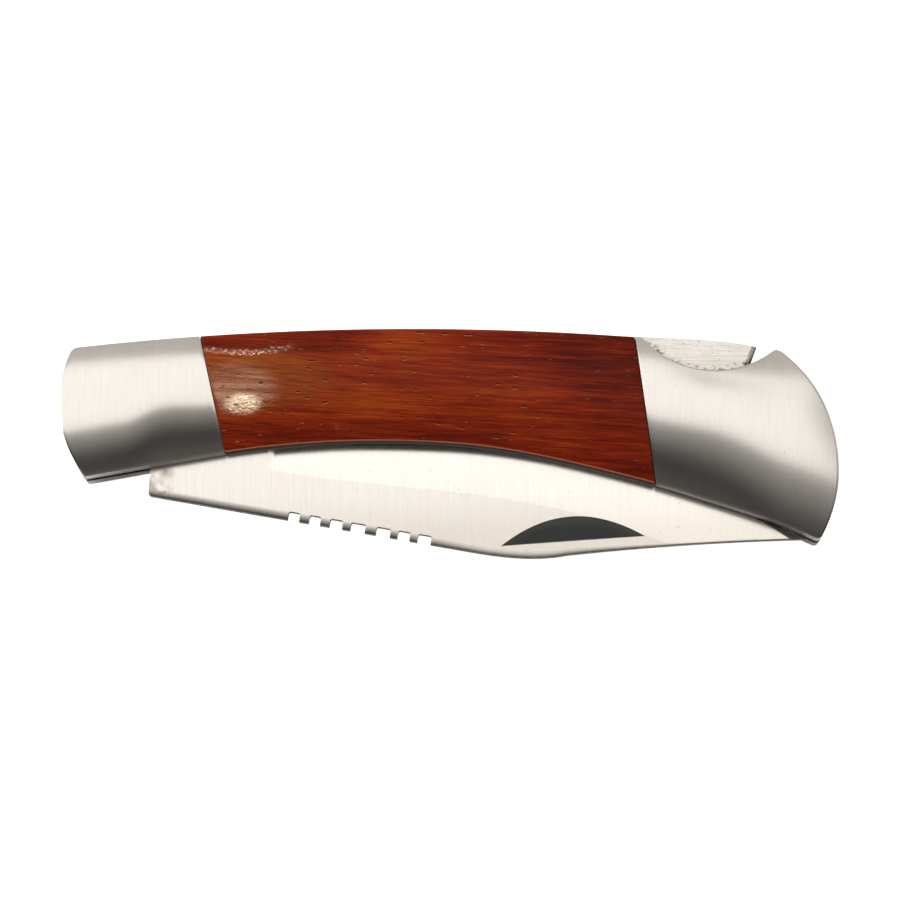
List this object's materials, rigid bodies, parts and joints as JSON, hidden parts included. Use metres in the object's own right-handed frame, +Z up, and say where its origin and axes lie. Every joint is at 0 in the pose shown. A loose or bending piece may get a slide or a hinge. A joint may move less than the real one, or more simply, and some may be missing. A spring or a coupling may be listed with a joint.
{
  "type": "folding pocket knife",
  "caption": "Closed lockback folding pocket knife with a bowed handle, wood scales, steel bolsters, a rocking lock bar and a nail nick.",
  "frame": {"origin": "on the plane that the knife lies on, straight below the blade's pivot, at the back pivot bolster's flat", "axes": "+X along the handle from the pivot towards the butt, +Y towards the handle's back with the lock bar, +Z up through the thickness"},
  "size_m": [0.1001, 0.0294, 0.0128],
  "materials": {
    "satin_steel": "satin ground stainless steel, brush lines across the handle",
    "blade_steel": "fine satin stainless steel, brush lines across the blade",
    "bar_steel": "stainless steel ground along its back",
    "liner_steel": "plain ground sheet steel",
    "pin_steel": "plain steel, ends ground flush or hidden",
    "spring_steel": "dark spring steel strip",
    "red_wood": "glossy lacquered red-brown hardwood with lengthwise grain"
  },
  "bodies": {
    "handle": {"front_liner": "liner_steel", "front_pivot_bolster": "satin_steel", "front_scale": "red_wood", "front_butt_bolster": "satin_steel", "front_bolster_rivet_upper": "pin_steel", "front_bolster_rivet_lower": "pin_steel", "back_liner": "liner_steel", "back_pivot_bolster": "satin_steel", "back_scale": "red_wood", "back_butt_bolster": "satin_steel", "back_bolster_rivet_upper": "pin_steel", "back_bolster_rivet_lower": "pin_steel", "butt_spacer": "liner_steel", "lock_spring": "spring_steel", "pivot_pin": "pin_steel", "rocker_pin": "pin_steel", "butt_pin_upper": "pin_steel", "butt_pin_lower": "pin_steel"},
    "blade": {"blade": "blade_steel"},
    "lock_bar": {"lock_bar": "bar_steel"}
  },
  "joints": [
    {"name": "blade_pivot", "type": "hinge", "parent": "handle", "child": "blade", "pos_m": [0, 0, 0.0064], "axis": [0, 0, -1], "range_deg": [0, 170]},
    {"name": "lock_rocker", "type": "hinge", "parent": "handle", "child": "lock_bar", "pos_m": [0.052, 0.0082, 0.0064], "axis": [0, 0, 1], "range_deg": [-1.3, 1.3], "stiffness_Nm_per_rad": 0.8, "deforming": ["lock_spring"]}
  ]
}
